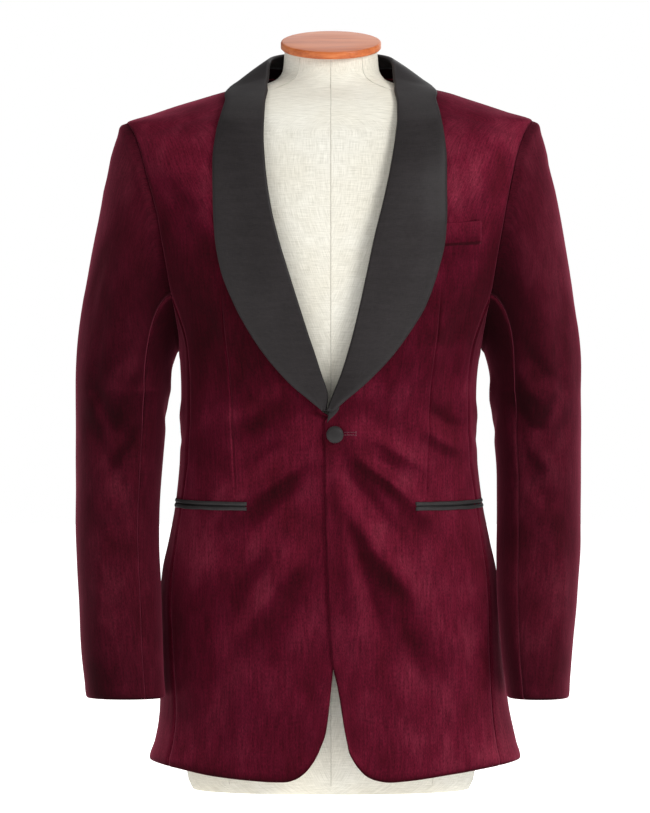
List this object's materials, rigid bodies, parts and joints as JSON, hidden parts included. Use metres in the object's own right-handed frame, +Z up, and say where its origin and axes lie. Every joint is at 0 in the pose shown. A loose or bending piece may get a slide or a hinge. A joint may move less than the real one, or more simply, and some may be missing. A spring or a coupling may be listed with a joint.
{
  "type": "smoking jacket on a dress form",
  "caption": "Velvet smoking jacket with a satin shawl collar, covered button and satin jetted hip pockets, worn on a limbless dress form with a wooden neck cap.",
  "frame": {"origin": "the middle of the dress form's flat underside, on the surface that it stands on", "axes": "+Z up, the jacket's front faces -Y, and the wearer's left is +X"},
  "size_m": [0.5669, 0.2637, 0.8542],
  "materials": {
    "velvet": "burgundy cotton velvet with a short upright pile",
    "satin": "black satin with a soft sheen",
    "linen": "cream linen, tight over the form",
    "wood": "orange-brown varnished wood"
  },
  "bodies": {
    "root": {"front_left": "velvet", "front_right": "velvet", "side_left": "velvet", "side_right": "velvet", "back_left": "velvet", "back_right": "velvet", "sleeve_top_left": "velvet", "sleeve_top_right": "velvet", "sleeve_under_left": "velvet", "sleeve_under_right": "velvet", "breast_welt": "velvet", "collar_left": "satin", "collar_right": "satin", "hip_jet_upper_left": "satin", "hip_jet_lower_left": "satin", "hip_jet_upper_right": "satin", "hip_jet_lower_right": "satin", "button_front": "satin", "form_torso": "linen", "form_neck_cap": "wood"}
  },
  "joints": []
}
